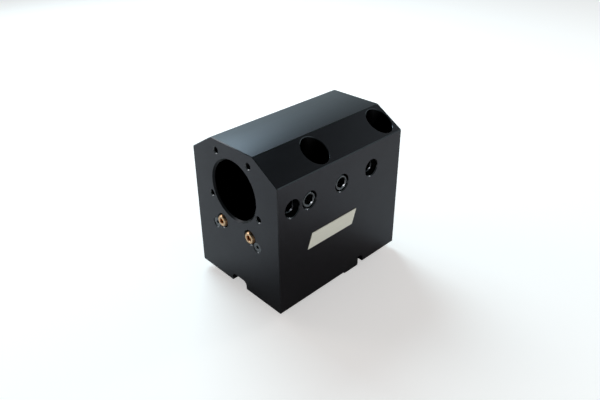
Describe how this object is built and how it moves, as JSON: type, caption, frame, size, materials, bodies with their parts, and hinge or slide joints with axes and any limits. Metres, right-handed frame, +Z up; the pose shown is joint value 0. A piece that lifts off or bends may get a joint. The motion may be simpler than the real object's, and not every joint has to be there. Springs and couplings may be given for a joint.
{
  "type": "boring bar holder",
  "caption": "Bolt-on lathe turret block that clamps a boring bar in a through bore, with locating keys in crossed base keyways and swivelling coolant nozzles below the bore.",
  "frame": {"origin": "centre of the four mounting screws' pattern, on the base face", "axes": "+Z up from the base, -Y out of the front face along the bore, +X towards the face with the clamp screws"},
  "size_m": [0.1005, 0.1412, 0.135],
  "materials": {
    "blackened_block": "black oxide over a ground surface",
    "key_steel": "black oxide, ground sides",
    "black_screw": "black oxide screw steel, lightly oiled",
    "nozzle_brass": "turned brass",
    "seal_rubber": "moulded nitrile rubber",
    "pale_plate": "matt pale plate, bare"
  },
  "bodies": {
    "holder": {"holder_body": "blackened_block", "locating_key_right": "key_steel", "locating_key_rear": "key_steel", "locating_key_left": "key_steel", "locating_key_front": "key_steel", "key_screw_right": "black_screw", "key_screw_rear": "black_screw", "key_screw_left": "black_screw", "key_screw_front": "black_screw", "nozzle_seat_ring_left": "seal_rubber", "nozzle_seat_ring_right": "seal_rubber", "inlet_seal_ring": "seal_rubber", "cross_channel_plug": "black_screw", "side_plate": "pale_plate"},
    "clamp_screw_1": {"bar_clamp_screw_1": "black_screw"},
    "clamp_screw_2": {"bar_clamp_screw_2": "black_screw"},
    "clamp_screw_3": {"bar_clamp_screw_3": "black_screw"},
    "clamp_screw_4": {"bar_clamp_screw_4": "black_screw"},
    "nozzle_left": {"coolant_nozzle_left": "nozzle_brass"},
    "lock_left": {"nozzle_lock_screw_left": "black_screw"},
    "nozzle_right": {"coolant_nozzle_right": "nozzle_brass"},
    "lock_right": {"nozzle_lock_screw_right": "black_screw"}
  },
  "joints": [
    {"name": "clamp_1", "type": "slide", "parent": "holder", "child": "clamp_screw_1", "axis": [-1, 0, 0], "range_m": [-0.0043, 0.003]},
    {"name": "clamp_2", "type": "slide", "parent": "holder", "child": "clamp_screw_2", "axis": [-1, 0, 0], "range_m": [-0.0005, 0.0068]},
    {"name": "clamp_3", "type": "slide", "parent": "holder", "child": "clamp_screw_3", "axis": [-1, 0, 0], "range_m": [-0.0005, 0.0068]},
    {"name": "clamp_4", "type": "slide", "parent": "holder", "child": "clamp_screw_4", "axis": [-1, 0, 0], "range_m": [-0.0043, 0.003]},
    {"name": "nozzle_tilt_left", "type": "hinge", "parent": "holder", "child": "nozzle_left", "pos_m": [-0.017, -0.08545, 0.0555], "axis": [-1, 0, 0], "range_deg": [-15, 15]},
    {"name": "lock_left_slide", "type": "slide", "parent": "holder", "child": "lock_left", "axis": [0, -1, 0], "range_m": [0, 0.003]},
    {"name": "nozzle_tilt_right", "type": "hinge", "parent": "holder", "child": "nozzle_right", "pos_m": [0.017, -0.08545, 0.0555], "axis": [-1, 0, 0], "range_deg": [-15, 15]},
    {"name": "lock_right_slide", "type": "slide", "parent": "holder", "child": "lock_right", "axis": [0, -1, 0], "range_m": [0, 0.003]}
  ]
}
